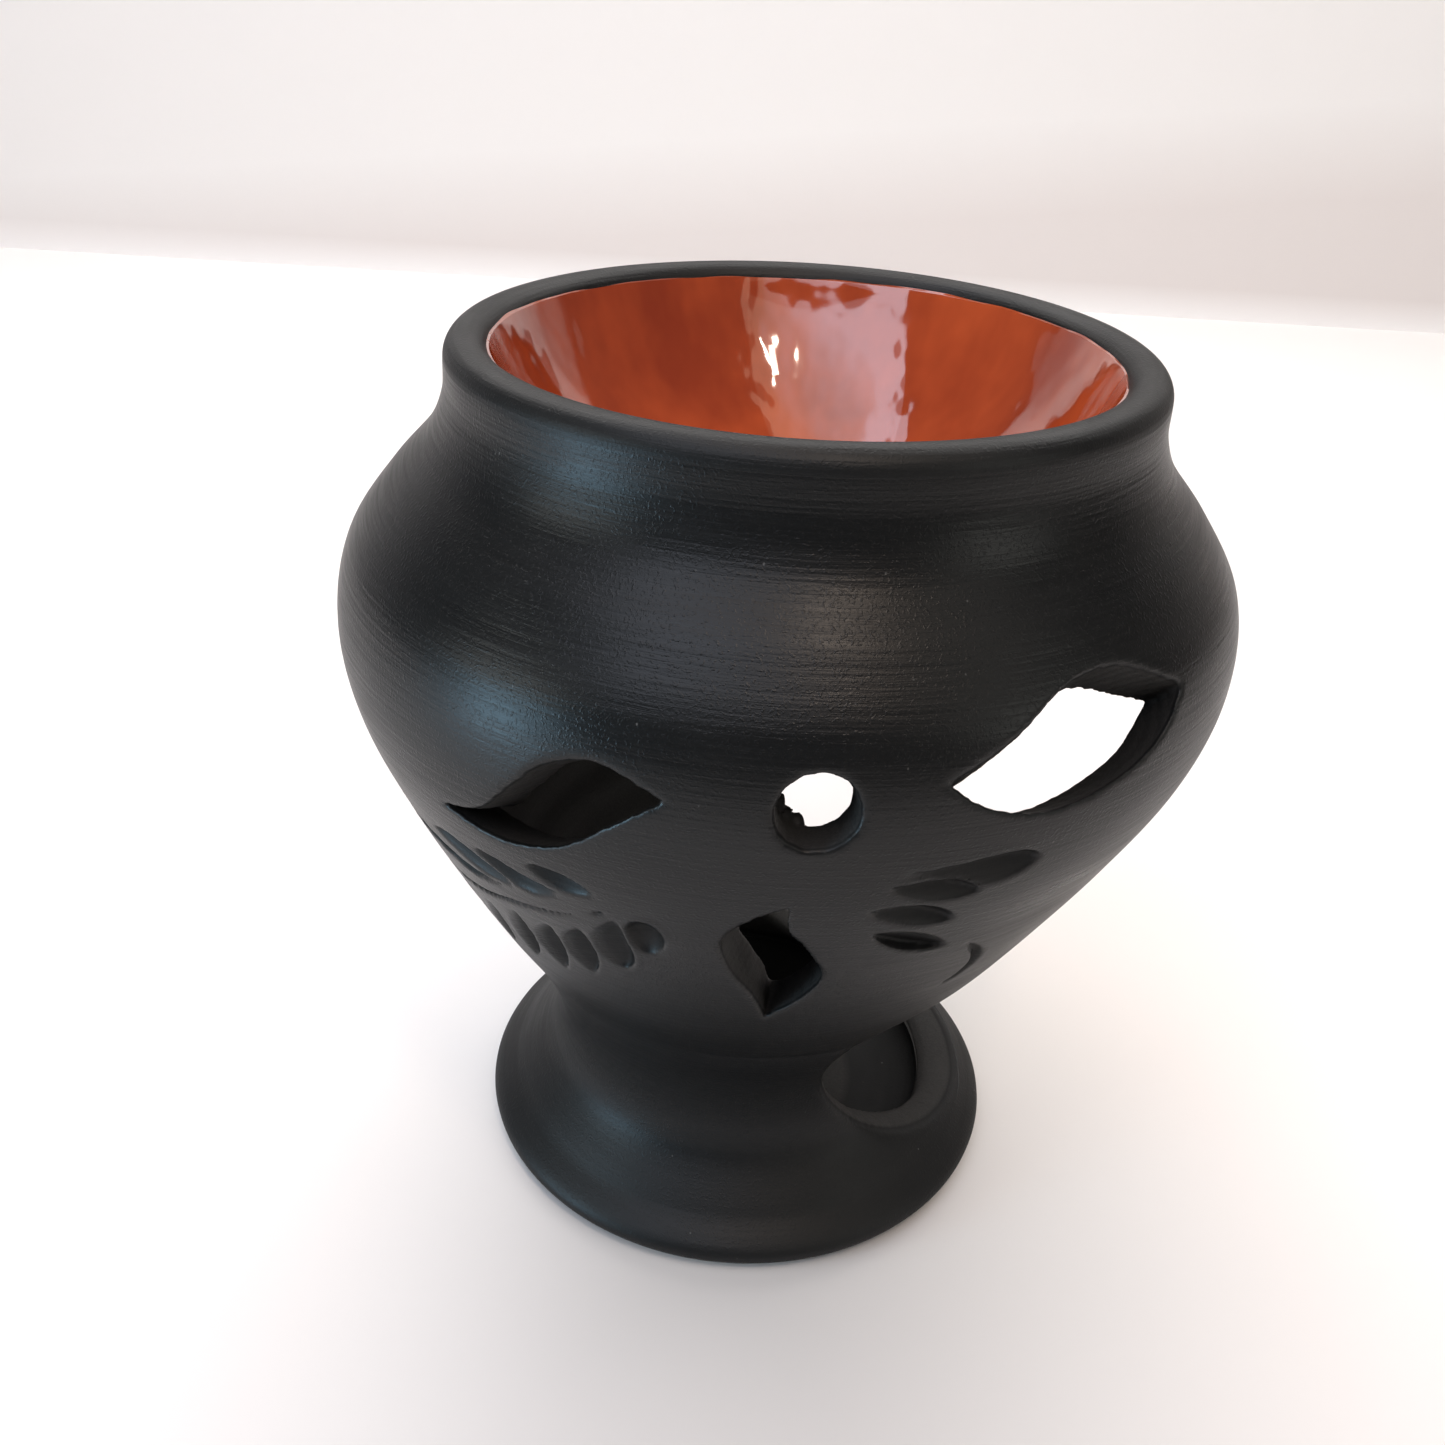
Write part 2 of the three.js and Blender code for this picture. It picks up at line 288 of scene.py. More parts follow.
# On the wall's inner face the right leaf has another outline, before it drifts.
RIGHT_LEAF_INSIDE = [
    [(17.1, 83.8), (23.5, 87.3), (30, 90.9), (35, 91.2), (41, 89.4), (48.2, 86.7)],
    [(48.2, 86.7), (44, 83.5), (37.2, 81), (28.7, 79.7), (21.7, 81.1), (17.1, 83.8)],
]
LEFT_LEAF = [
    [(-39.5, 71.2), (-33.5, 73.2), (-28.1, 78.2), (-23.8, 81.8), (-18, 83.2), (-11, 80.8)],
    [(-11, 80.8), (-16.5, 77), (-22, 72.9), (-28, 70.8), (-33.5, 70.4), (-39.5, 71.2)],
]
SLANTED_LEAF = [
    [(2.8, 69), (-0.8, 66.8), (-4, 62.6), (-3, 57), (0.5, 51.6), (3.2, 46.2)],
    [(3.2, 46.2), (7.4, 50.6), (9.3, 56), (6.1, 61.6), (3.4, 65.2), (2.8, 69)],
]
ROUND_HOLE = {"azimuth": 4.4, "height": 81, "radius": 3.85}
# Crumbs of clay left in the round hole: azimuth, height, depth in the wall, and size.
BURRS = [(0.4, 79.1, 5.0, 1.05), (1.5, 77.6, 5.2, 0.95), (3.1, 76.9, 5.3, 0.8)]


def smooth_path(knots, steps):
    """A curve through the knots, with a number of steps between one knot and the next."""
    knots = np.array(knots, float)
    padded = np.concatenate([knots[:1], knots, knots[-1:]])
    t = np.linspace(0, 1, steps, endpoint=False)[:, None]
    parts = []
    for before, start, end, after in zip(padded, padded[1:], padded[2:], padded[3:]):
        leave, arrive = (end - before) / 2, (after - start) / 2
        parts.append(
            (2 * t**3 - 3 * t**2 + 1) * start
            + (t**3 - 2 * t**2 + t) * leave
            + (3 * t**2 - 2 * t**3) * end
            + (t**3 - t**2) * arrive
        )
    return np.concatenate(parts + [knots[-1:]])


def closed_outline(edges):
    """An outline made of curves that run on from each other, with a corner where they meet if the
    knots turn there."""
    steps = 5
    return np.concatenate([smooth_path(edge, steps)[:-1] for edge in edges])


def door_outline():
    right = [(DOOR_AZIMUTH + x, z) for x, z in DOOR_HALF]
    left = [(DOOR_AZIMUTH - x, z) for x, z in reversed(DOOR_HALF)]
    return closed_outline([right, left])


def round_outline(azimuth, height, radius):
    turn = np.linspace(0, 2 * np.pi, 48, endpoint=False)
    reach = radius / mm_per_degree(height)
    return np.stack([azimuth + reach * np.cos(turn), height + radius * np.sin(turn)], axis=1)


def mm_per_degree(z):
    """How many millimetres one degree is, round the pot's outside at height z."""
    return math.radians(1) * outer_radius(z)


def distance_to_outline(outline, azimuth, height):
    """How many millimetres a point on the wall is from a closed outline; below 0 inside it."""
    scale = mm_per_degree(height)
    x = azimuth * scale
    nearest = np.full(x.shape, np.inf)
    inside = np.zeros(x.shape, bool)
    for (a0, z0), (a1, z1) in zip(outline, np.roll(outline, -1, axis=0)):
        x0, run, rise = a0 * scale, (a1 - a0) * scale, z1 - z0
        t = np.clip(((x - x0) * run + (height - z0) * rise) / (run**2 + rise**2), 0, 1)
        nearest = np.minimum(nearest, np.hypot(x - x0 - t * run, height - z0 - t * rise))
        if z0 != z1:
            passes = (z0 > height) != (z1 > height)
            inside ^= passes & (azimuth < a0 + (height - z0) * (a1 - a0) / (z1 - z0))
    return np.where(inside, -nearest, nearest)


def gouge(path, width, depth, lean=0.0, fullest=0.5, blunt=0.7):
    """A carved stroke: its widest place is at fullest along the path, and its deepest line leans to
    the left (+) or the right (-) of the way it was cut. A small blunt gives blunter ends."""
    return {"path": path, "width": width, "depth": depth, "lean": lean, "fullest": fullest,
            "blunt": blunt}


LEFT_FEATHER = [
    gouge([(-64, 62.6), (-58, 61.6), (-52, 60.9), (-46, 60.3), (-40, 60), (-33.8, 61.2)], 1.9, 0.8),
    gouge([(-46.4, 64.2), (-41.8, 63.9), (-37, 62.9), (-32, 62.2)], 3.4, 1.35, 0.45),
    gouge([(-36.8, 65.9), (-33.8, 65), (-29.5, 63.9), (-24.2, 64.3)], 3.2, 1.35, 0.45),
    gouge([(-27.9, 67.7), (-25.8, 67.3), (-22.8, 66.8), (-19.2, 66.3)], 3.0, 1.3, 0.45),
    gouge([(-66, 56.4), (-57, 54.8), (-49.5, 54.8), (-41.9, 56), (-34.9, 58.1), (-29.7, 59.4),
           (-25.2, 60.7), (-21.4, 62.2)], 0.75, 0.6),
    gouge([(-20.4, 62.7), (-18.2, 63.8)], 0.55, 0.5),
    gouge([(-59, 52.5), (-61, 48.5), (-64, 44.5)], 2.0, 0.8, 0.3),
    gouge([(-51.5, 52.4), (-53, 48.6), (-55.5, 44)], 2.3, 1.1, 0.6),
    gouge([(-43.6, 53.2), (-44.6, 49.6), (-47.5, 43.4)], 2.9, 1.3, 0.7),
    gouge([(-35.9, 55.8), (-36.9, 51.3), (-39.3, 45)], 3.6, 1.4, 0.7),
    gouge([(-29, 56.8), (-30.9, 51.9), (-31.2, 46.6)], 4.0, 1.4, 0.75, 0.5),
    gouge([(-23.4, 58.6), (-24.7, 54), (-24.5, 49)], 4.2, 1.4, 0.75, 0.5),
    gouge([(-17.3, 62.6), (-18.6, 58.2), (-18, 53)], 4.6, 1.2, 0.4, 0.62, 0.45),
]
RIGHT_FEATHER = [
    gouge([(13.2, 73.8), (18.3, 73.3), (22.4, 72.9), (25.8, 72.9), (30.4, 73.2)], 4.3, 1.7, 0.35,
          0.7, 0.55),
    gouge([(13, 71.9), (18.9, 71), (24.2, 70.1)], 3.0, 1.5, 0.35, 0.55, 0.6),
    gouge([(11.8, 68.4), (17.2, 67.4), (22.8, 65.8)], 3.5, 1.6, 0.1, 0.52, 0.6),
    gouge([(13.4, 64.6), (18.4, 62.6), (24.8, 60.2)], 3.3, 1.4, -0.7, 0.5, 0.6),
    gouge([(27.8, 59.8), (32.4, 56), (34.2, 53), (33.6, 50.4), (31.2, 48.4)], 1.5, 0.8),
]
DIMPLE = {"azimuth": -13.5, "height": 60.7, "width": 4.2, "tall": 6.3, "depth": 1.3}


def ridge(x, middle, width):
    """1 at the middle of a ridge, falling off smoothly to 0 on both sides."""
    return np.exp(-(((x - middle) / width) ** 2))


def stroke_depth(stroke, azimuth, height):
    """How deep a carved stroke is at points on the wall. Its bed is steep on the side that it leans
    to. Clay stands up a little along its edges, except at its ends."""
    path = smooth_path(stroke["path"], 6)
    scale = mm_per_degree(path[:, 1].mean())
    path = path * [scale, 1]
    x, y = azimuth * scale, height
    lengths = np.hypot(*np.diff(path, axis=0).T)
    along = np.concatenate([[0], np.cumsum(lengths)]) / lengths.sum()
    nearest = np.full(x.shape, np.inf)
    place, side = np.zeros(x.shape), np.zeros(x.shape)
    for (x0, y0), (x1, y1), s0, s1 in zip(path, path[1:], along, along[1:]):
        run, rise = x1 - x0, y1 - y0
        t = np.clip(((x - x0) * run + (y - y0) * rise) / (run**2 + rise**2), 0, 1)
        away = np.hypot(x - x0 - t * run, y - y0 - t * rise)
        closer = away < nearest
        nearest = np.where(closer, away, nearest)
        place = np.where(closer, s0 + t * (s1 - s0), place)
        side = np.where(closer, np.sign(run * (y - y0) - rise * (x - x0)), side)
    swell = np.sin(np.pi * place ** (math.log(0.5) / math.log(stroke["fullest"])))
    fullness = np.clip(swell, 0, 1) ** stroke["blunt"]
    across = side * nearest / np.maximum(stroke["width"] / 2 * fullness, 1e-3)
    steep = across > stroke["lean"] if stroke["lean"] > 0 else across < stroke["lean"]
    reach = np.where(across > stroke["lean"], 1 - stroke["lean"], 1 + stroke["lean"])
    from_deepest = np.clip(np.abs(across - stroke["lean"]) / reach, 0, 1)
    bed = np.where(steep, 1 - from_deepest**1.7, (1 - from_deepest**1.2) ** 1.1)
    pushed_up = 0.09 * ridge(np.abs(across), 1.12, 0.12) * (fullness > 0.25)
    return stroke["depth"] * fullness * bed - pushed_up * np.clip(stroke["depth"], 0, 1)


def carved_depth(azimuth, height):
    """How deep the carving is at points on the wall. It is a little below 0 on the clay that the tool
    pushed up beside a stroke."""
    depth = np.zeros(azimuth.shape)
    rim = np.zeros(azimuth.shape)
    for stroke in LEFT_FEATHER + RIGHT_FEATHER:
        cut = stroke_depth(stroke, azimuth, height)
        depth = np.maximum(depth, cut)
        rim = np.minimum(rim, cut)
    scale = mm_per_degree(DIMPLE["height"])
    across = (azimuth - DIMPLE["azimuth"]) * scale / (DIMPLE["width"] / 2)
    up = (height - DIMPLE["height"]) / (DIMPLE["tall"] / 2)
    from_middle = np.hypot(across, up)
    depth = np.maximum(depth, DIMPLE["depth"] * (1 - from_middle**2.4))
    pushed_up = 0.16 * ridge(from_middle, 1.08, 0.1)
    rim = np.minimum(rim, -pushed_up * smoothstep(-0.2, 0.8, up))
    return np.where(depth > 0, depth, rim)


def luting_line(azimuth, height):
    """How deep the faint line is where the foot was joined to the belly, under the smearing."""
    level = WAIST_JOINT - 0.4 + 0.5 * np.sin(np.radians(azimuth) * 2 + 1)
    shown = 0.5 + 0.5 * np.sin(np.radians(azimuth) * 5 + 0.6)
    return 0.14 * shown * ridge(height, level, 0.4)


# ---- The wall ------------------------------------------------------------------------------------


def spaced(bands):
    """Numbers from the first band's start to the last band's end, each band with its own spacing."""
    parts = [np.linspace(a, b, round((b - a) / step), endpoint=False) for a, b, step in bands]
    return np.concatenate(parts)


# The grid's lines, in degrees and millimetres. They are closest where the wall is carved.
AZIMUTHS = spaced([(-66, 54, 0.42), (54, 186, 1.0), (186, 294, 2.0)])
HEIGHTS = spaced([(4, 44, 0.45), (44, 93, 0.36), (93, 97, 0.5)])
DEPTHS = np.linspace(-0.5, 6.1, 22)


def smooth_max(a, b, softness):
    """The larger of two fields, with the edge between them rounded off."""
    overlap = np.clip(softness - np.abs(a - b), 0, None) / softness
    return np.maximum(a, b) + overlap**2 * softness / 4


OPENINGS = [
    {"outline": closed_outline(RIGHT_LEAF), "inside": closed_outline(RIGHT_LEAF_INSIDE),
     "drift": (2.5, -4.2), "flare": 0, "softness": 0.5},
    {"outline": closed_outline(LEFT_LEAF), "drift": (0.5, -2.3), "flare": 0, "softness": 0.5},
    {"outline": closed_outline(SLANTED_LEAF), "drift": (2.3, 1.8), "flare": 0.8, "softness": 0.5},
    {"outline": door_outline(), "drift": (0, 0), "flare": 0.2, "softness": 1.8},
    {"outline": round_outline(**ROUND_HOLE), "drift": (0, -0.5), "flare": 0, "softness": 0.7},
]


def opening_fields(azimuth, depth, height):
    """For each opening, where it is cut, how far inside it each point of the wall is, and how softly
    its edge is rounded. An opening drifts as it goes in, flares wider by so many millimetres, and may
    have another outline inside."""
    wave = 0.04
    ragged = wave * np.sin(azimuth * 3.1 + height * 1.3) + wave * np.sin(height * 4.7 - azimuth * 1.9)
    inward = depth / WALL
    margin = 4
    for hole in OPENINGS:
        outline = hole["outline"]
        reach = margin + np.abs(hole["drift"]) + hole["flare"]
        low, high = outline.min(axis=0) - reach, outline.max(axis=0) + reach
        columns = (AZIMUTHS > low[0]) & (AZIMUTHS < high[0])
        rows = (HEIGHTS > low[1]) & (HEIGHTS < high[1])
        block = np.ix_(columns, np.ones(len(DEPTHS), bool), rows)
        across = azimuth[block] - hole["drift"][0] * inward[block]
        up = height[block] - hole["drift"][1] * inward[block]
        distance = distance_to_outline(outline, across, up)
        if "inside" in hole:
            part = np.clip(inward[block], 0, 1)
            distance += part * (distance_to_outline(hole["inside"], across, up) - distance)
        yield block, hole["flare"] * inward[block] - distance - ragged[block], hole["softness"]


def clay_field():
    """Below 0 where there is clay, at each azimuth, depth and height of the grid."""
    azimuth, depth, height = np.meshgrid(AZIMUTHS, DEPTHS, HEIGHTS, indexing="ij")
    on_face = azimuth[:, 0, :], height[:, 0, :]
    carving = carved_depth(*on_face)
    carving = np.where(carving == 0, luting_line(*on_face), carving)[:, None, :]
    turn = np.radians(azimuth)
    throwing_ridges = 0.12 * np.sin(height * 1.25 + turn) + 0.1 * np.sin(5 * turn)
    field = np.maximum(carving - depth, depth - wall_thickness(height) - throwing_ridges)
    for block, opening, softness in opening_fields(azimuth, depth, height):
        field[block] = smooth_max(field[block], opening, softness)
    for burr_azimuth, burr_height, burr_depth, size in BURRS:
        columns, rows = np.abs(AZIMUTHS - burr_azimuth) < 4, np.abs(HEIGHTS - burr_height) < 3
        block = np.ix_(columns, np.ones(len(DEPTHS), bool), rows)
        across = (azimuth[block] - burr_azimuth) * mm_per_degree(burr_height)
        up, inward = height[block] - burr_height, depth[block] - burr_depth
        rough = 0.15 * np.sin(5.1 * across + 3.7 * up) + 0.12 * np.sin(6.3 * up - 4.1 * across)
        lump = np.sqrt(across**2 + up**2 + inward**2) - size - rough
        field[block] = np.minimum(field[block], lump)
    return field


def shifted(array, axis, start, stop):
    """The slice of an array from start to stop along one axis."""
    index = [slice(None)] * array.ndim
    index[axis] = slice(start, stop)
    return array[tuple(index)]


def skin_of(field):
    """Wraps a skin of four-sided faces round the clay. Each grid cell that the surface passes through
    gets one point, in the middle of the surface's crossings of the cell's edges."""
    columns, layers, rows = field.shape
    around = np.concatenate([field, field[:1]])
    clay = around < 0
    cells = (columns, layers - 1, rows - 1)
    total = np.zeros(cells + (3,))
    count = np.zeros(cells)
    crossings = []
    for axis in range(3):
        first, second = shifted(around, axis, None, -1), shifted(around, axis, 1, None)
        change = shifted(clay, axis, None, -1) != shifted(clay, axis, 1, None)
        with np.errstate(divide="ignore", invalid="ignore"):
            part = np.where(change, first / (first - second), 0)
        if axis:
            change, part = change[:columns], part[:columns]
        crossings.append(change)
        others = [k for k in range(3) if k != axis]
        for one in (0, 1):
            for two in (0, 1):
                hit, along = change, part
                for other, step in zip(others, (one, two)):
                    if other == 0:
                        hit, along = np.roll(hit, -step, axis=0), np.roll(along, -step, axis=0)
                    else:
                        span = step, step + cells[other]
                        hit, along = shifted(hit, other, *span), shifted(along, other, *span)
                count += hit
                total[..., axis] += along
                total[..., others[0]] += hit * one
                total[..., others[1]] += hit * two
    used = count > 0
    number = np.full(cells, -1)
    number[used] = np.arange(used.sum())
    place = np.stack(np.nonzero(used), axis=1) + total[used] / count[used][:, None]
    return place, faces_of(crossings, clay, number)


def faces_of(crossings, clay, number):
    """One face round each grid edge that the surface crosses, turned so that it faces out."""
    faces = []
    for axis, change in enumerate(crossings):
        ring = [k for k in range(3) if k != axis]
        edge = np.stack(np.nonzero(change), axis=1)
        within = [(edge[:, k] > 0) & (edge[:, k] < change.shape[k] - 1) for k in ring if k]
        edge = edge[np.all(within, axis=0)]
        corners = []
        for one, two in ((0, 0), (1, 0), (1, 1), (0, 1)):
            cell = edge.copy()
            cell[:, ring[0]] -= one
            cell[:, ring[1]] -= two
            corners.append(number[cell[:, 0] % number.shape[0], cell[:, 1], cell[:, 2]])
        quads = np.stack(corners, axis=1)
        leaving = clay[tuple(edge.T)]
        flip = leaving if axis == 1 else ~leaving
        quads[flip] = quads[flip][:, ::-1]
        faces.append(quads)
    return np.concatenate(faces)


def relaxed(place, faces):
    """Evens out the grid's steps in a skin: it shrinks and swells a little in turn, so that the shape
    stays. Places are in grid steps, and the first one runs round the pot."""
    shrink, swell, rounds = 0.5, -0.52, 4
    turns = np.exp(2j * np.pi * place[:, 0] / len(AZIMUTHS))
    links = np.concatenate([faces[:, [i, (i + 1) % 4]] for i in range(4)])
    count = np.bincount(links[:, 0], minlength=len(place))
    for push in (shrink, swell) * rounds:
        moved = []
        for values in (turns, place[:, 1], place[:, 2]):
            total = np.zeros(len(place), values.dtype)
            np.add.at(total, links[:, 0], values[links[:, 1]])
            moved.append(values + push * (total / np.maximum(count, 1) - values))
        inside = count > 3
        turns = np.where(inside, moved[0], turns)
        place = np.where(inside[:, None], np.stack([place[:, 0], moved[1], moved[2]], axis=1), place)
    around = np.angle(turns) * len(AZIMUTHS) / (2 * np.pi) % len(AZIMUTHS)
    return np.stack([around, *place[:, 1:].T], axis=1)


def wall_skin():
    """The wall from below the floor's top to above the neck joint, open at both ends."""
    place, faces = skin_of(clay_field())
    place = relaxed(place, faces)
    turned = np.append(AZIMUTHS, AZIMUTHS[0] + 360)
    azimuth = np.radians(np.interp(place[:, 0], np.arange(len(turned)), turned))
    depth = np.interp(place[:, 1], np.arange(len(DEPTHS)), DEPTHS)
    height = np.interp(place[:, 2], np.arange(len(HEIGHTS)), HEIGHTS)
    radius = radius_at_depth(depth, height)
    points = np.stack([radius * np.sin(azimuth), -radius * np.cos(azimuth), height], axis=1)
    points = hand_made(points)
    a, b, c, d = (points[faces[:, i]] for i in range(4))
    face_normals = np.cross(c - a, d - b)
    normals = np.zeros_like(points)
    for i in range(4):
        np.add.at(normals, faces[:, i], face_normals)
    normals /= np.linalg.norm(normals, axis=1, keepdims=True)
    below = depth - carved_depth(np.degrees(azimuth), height)
    polish_and_shade = 1 - 0.5 * smoothstep(0.1, 0.6, depth) - 0.5 * smoothstep(0.2, 0.9, below)
    return points, faces, normals, polish_and_shade


# While a wall piece is made, its joint faces are marked by this material number.
JOINT_FACE = 1


def wall_piece(name, bottom, top, skin):
    """The part of the wall between two heights, closed by flat joint faces."""
    points, faces, normals, polish_and_shade = skin
    margin = 1.5
    height = points[faces][:, :, 2]
    near = (height.max(axis=1) > bottom - margin) & (height.min(axis=1) < top + margin)
    used, place = np.unique(faces[near], return_inverse=True)
    mesh = bpy.data.meshes.new(name)
    mesh.from_pydata((points[used] * MM).tolist(), [], place.reshape(-1, 4).tolist())
    for label, kind, values in (("smooth", "FLOAT_VECTOR", normals), ("polish_and_shade", "FLOAT", polish_and_shade)):
        layer = mesh.attributes.new(label, kind, "POINT")
        key = "vector" if kind == "FLOAT_VECTOR" else "value"
        layer.data.foreach_set(key, values[used].astype(np.float32).ravel())
    work = bmesh.new()
    work.from_mesh(mesh)
    for level, up in ((bottom, -1), (top, 1)):
        cut = bmesh.ops.bisect_plane(
            work,
            geom=work.verts[:] + work.edges[:] + work.faces[:],
            dist=1e-7,
            plane_co=(0, 0, level * MM),
            plane_no=(0, 0, up),
            clear_outer=True,
        )
        rim = [e for e in cut["geom_cut"] if isinstance(e, bmesh.types.BMEdge)]
        made = bmesh.ops.triangle_fill(work, use_beauty=False, use_dissolve=False, edges=rim)
        for face in made["geom"]:
            if isinstance(face, bmesh.types.BMFace):
                face.normal_update()
                face.material_index = JOINT_FACE
                if face.normal.z * up < 0:
                    face.normal_flip()
    work.to_mesh(mesh)
    work.free()
    return finished_wall(name, mesh)


def finished_wall(name, mesh):
    """Gives a cut wall mesh its smooth normals, and its flat joint faces flat ones."""
    smooth = np.zeros(len(mesh.vertices) * 3, np.float32)
    mesh.attributes["smooth"].data.foreach_get("vector", smooth)
    smooth = smooth.reshape(-1, 3)
    corner_point = np.zeros(len(mesh.loops), np.int32)
    mesh.loops.foreach_get("vertex_index", corner_point)
    sizes = np.zeros(len(mesh.polygons), np.int32)
    mesh.polygons.foreach_get("loop_total", sizes)
    joint = np.zeros(len(mesh.polygons), np.int32)
    mesh.polygons.foreach_get("material_index", joint)
    flat = np.zeros(len(mesh.polygons) * 3, np.float32)
    mesh.polygons.foreach_get("normal", flat)
    on_joint = np.repeat(joint, sizes) == JOINT_FACE
    flat_corners = np.repeat(flat.reshape(-1, 3), sizes, axis=0)
    normals = np.where(on_joint[:, None], flat_corners, smooth[corner_point])
    mesh.polygons.foreach_set("material_index", np.zeros(len(mesh.polygons), np.int32))
    mesh.polygons.foreach_set("use_smooth", [True] * len(mesh.polygons))
    mesh.attributes.remove(mesh.attributes["smooth"])
    mesh.normals_split_custom_set(normals.tolist())
    mesh.update()
    piece = bpy.data.objects.new(name, mesh)
    bpy.context.scene.collection.objects.link(piece)
    return piece


# ---- Turned pieces -------------------------------------------------------------------------------

# How burnished a face is, from 0 to 1. The value 0.45 gives the floor's rounding, which lies in the
# shadow of the door's sill, the dark burnished colour as painted shade.
BURNISHED, RUBBED, PAINTED_SHADE, STOOD_ON, BARE = 1, 0.8, 0.45, 0.2, 0


def straight(start, end):
    """A straight section from one (radius, height) to another."""

    def curve(t, angle):
        return start[0] + (end[0] - start[0]) * t, start[1] + (end[1] - start[1]) * t + 0 * angle

    return curve


def outer_face(bottom, top):
    """The pot's outside between two heights."""

    def curve(t, angle):
        height = bottom + (top - bottom) * t
        return outer_radius(height), height + 0 * angle

    return curve


def bowl_reach(thickness, height):
    """The bowl's radius at a height, on its inside or a thickness further out. It is part of a ball."""
    rise = np.clip((BOWL_CENTRE_HEIGHT - height) / (BOWL_RADIUS + thickness), 0, 1)
    return float((BOWL_RADIUS + thickness) * np.sqrt(1 - rise**2))


def bowl_face(thickness, start, end):
    """The bowl's section between two heights, evenly stepped round its curve."""
    ball = BOWL_RADIUS + thickness
    first, last = (
        math.asin(min((BOWL_CENTRE_HEIGHT - height) / ball, 1)) for height in (start, end)
    )

    def curve(t, angle):
        turn = first + (last - first) * t
        return ball * np.cos(turn), BOWL_CENTRE_HEIGHT - ball * np.sin(turn) + 0 * angle

    return curve


def inner_face(start, end):
    """The wall's inside between two heights."""

    def curve(t, angle):
        height = start + (end - start) * t
        return radius_at_depth(WALL, height), height + 0 * angle

    return curve


def foot_edge(t, angle):
    """The rounded edge under the foot, from the flat that it rests on outwards and up."""
    turn = t * np.pi / 2
    flare = (KNOT_RADII[0] - FOOT_REST_RADIUS) * np.sin(turn)
    return FOOT_REST_RADIUS + flare, FOOT_EDGE_HEIGHT * (1 - np.cos(turn)) + 0 * angle


def lip_roll(t, angle):
    """The lip's round, from its outside over the top to where the bowl starts."""
    turn = t * (np.pi - RIM_ANGLE)
    radius = LIP_CENTRE_RADIUS + LIP_RADIUS * np.cos(turn)
    return radius, LIP_CENTRE_HEIGHT + LIP_RADIUS * np.sin(turn) + 0 * angle


FLOOR_TOP = 2.4
FLOOR_ROUNDING = 9


def floor_side(t, angle):
    """The slab's raised rim runs down inside and rounds into the floor."""
    turn = t * np.pi / 2
    rim = float(radius_at_depth(wall_thickness(FLOOR), FLOOR))
    radius = rim - FLOOR_ROUNDING * (1 - np.cos(turn))
    return radius, FLOOR - (FLOOR - FLOOR_TOP) * np.sin(turn) + 0 * angle


def base_slab():
    rim = float(radius_at_depth(wall_thickness(FLOOR), FLOOR))
    sections = [
        (straight((0, 0), (FOOT_REST_RADIUS, 0)), 8, STOOD_ON),
        (foot_edge, 10, BURNISHED),
        (outer_face(FOOT_EDGE_HEIGHT, FLOOR), 8, BURNISHED),
        (straight((float(outer_radius(FLOOR)), FLOOR), (rim, FLOOR)), 2, BARE),
        # The floor's rounding by the sill takes the dark burnished colour as painted shade.
        (floor_side, 20, PAINTED_SHADE),
        (straight((rim - FLOOR_ROUNDING, FLOOR_TOP), (0, FLOOR_TOP)), 10, BARE),
    ]
    return turned_piece("base_slab_clay", sections, 240)


def neck_ring():
    """The solid ring of neck, and under it the groove between the bowl and the shoulder."""
    outer, inner = float(outer_radius(NECK_JOINT)), bowl_reach(0, NECK_JOINT)
    outer_top, inner_top = float(outer_radius(LIP_JOINT)), bowl_reach(0, LIP_JOINT)
    bowl_side = bowl_reach(BOWL_THICKNESS, GROOVE_TOP)
    bowl_foot = bowl_reach(BOWL_THICKNESS, NECK_JOINT)
    wall_side = float(radius_at_depth(WALL, GROOVE_TOP))
    wall_foot = float(radius_at_depth(WALL, NECK_JOINT))
    sections = [
        (outer_face(NECK_JOINT, LIP_JOINT), 24, BURNISHED),
        (straight((outer_top, LIP_JOINT), (inner_top, LIP_JOINT)), 1, BARE),
        (bowl_face(0, LIP_JOINT, NECK_JOINT), 8, BARE),
        (straight((inner, NECK_JOINT), (bowl_foot, NECK_JOINT)), 1, BARE),
        (bowl_face(BOWL_THICKNESS, NECK_JOINT, GROOVE_TOP), 4, BARE),
        (straight((bowl_side, GROOVE_TOP), (wall_side, GROOVE_TOP)), 1, BARE),
        (inner_face(GROOVE_TOP, NECK_JOINT), 4, BARE),
        (straight((wall_foot, NECK_JOINT), (outer, NECK_JOINT)), 1, BARE),
    ]
    return turned_piece("neck_ring_clay", sections, 300)


def lip_coil():
    outer, inner = float(outer_radius(LIP_JOINT)), bowl_reach(0, LIP_JOINT)
    sections = [
        (outer_face(LIP_JOINT, LIP_CENTRE_HEIGHT), 10, BURNISHED),
        (lip_roll, 24, RUBBED),
        (bowl_face(0, RIM_HEIGHT, LIP_JOINT), 6, BARE),
        (straight((inner, LIP_JOINT), (outer, LIP_JOINT)), 1, BARE),
    ]
    return turned_piece("lip_coil_clay", sections, 300)


def oil_bowl():
    outer, inner = bowl_reach(BOWL_THICKNESS, NECK_JOINT), bowl_reach(0, NECK_JOINT)
    lowest = LIP_CENTRE_HEIGHT - BOWL_DEPTH
    sections = [
        (bowl_face(BOWL_THICKNESS, 0, NECK_JOINT), 24, BARE),
        (straight((outer, NECK_JOINT), (inner, NECK_JOINT)), 1, BARE),
        (bowl_face(0, NECK_JOINT, lowest), 24, BARE),
    ]
    return turned_piece("oil_bowl_clay", sections, 240)


GLAZE_THICKNESS = 0.42
GLAZE_BITE = 0.06


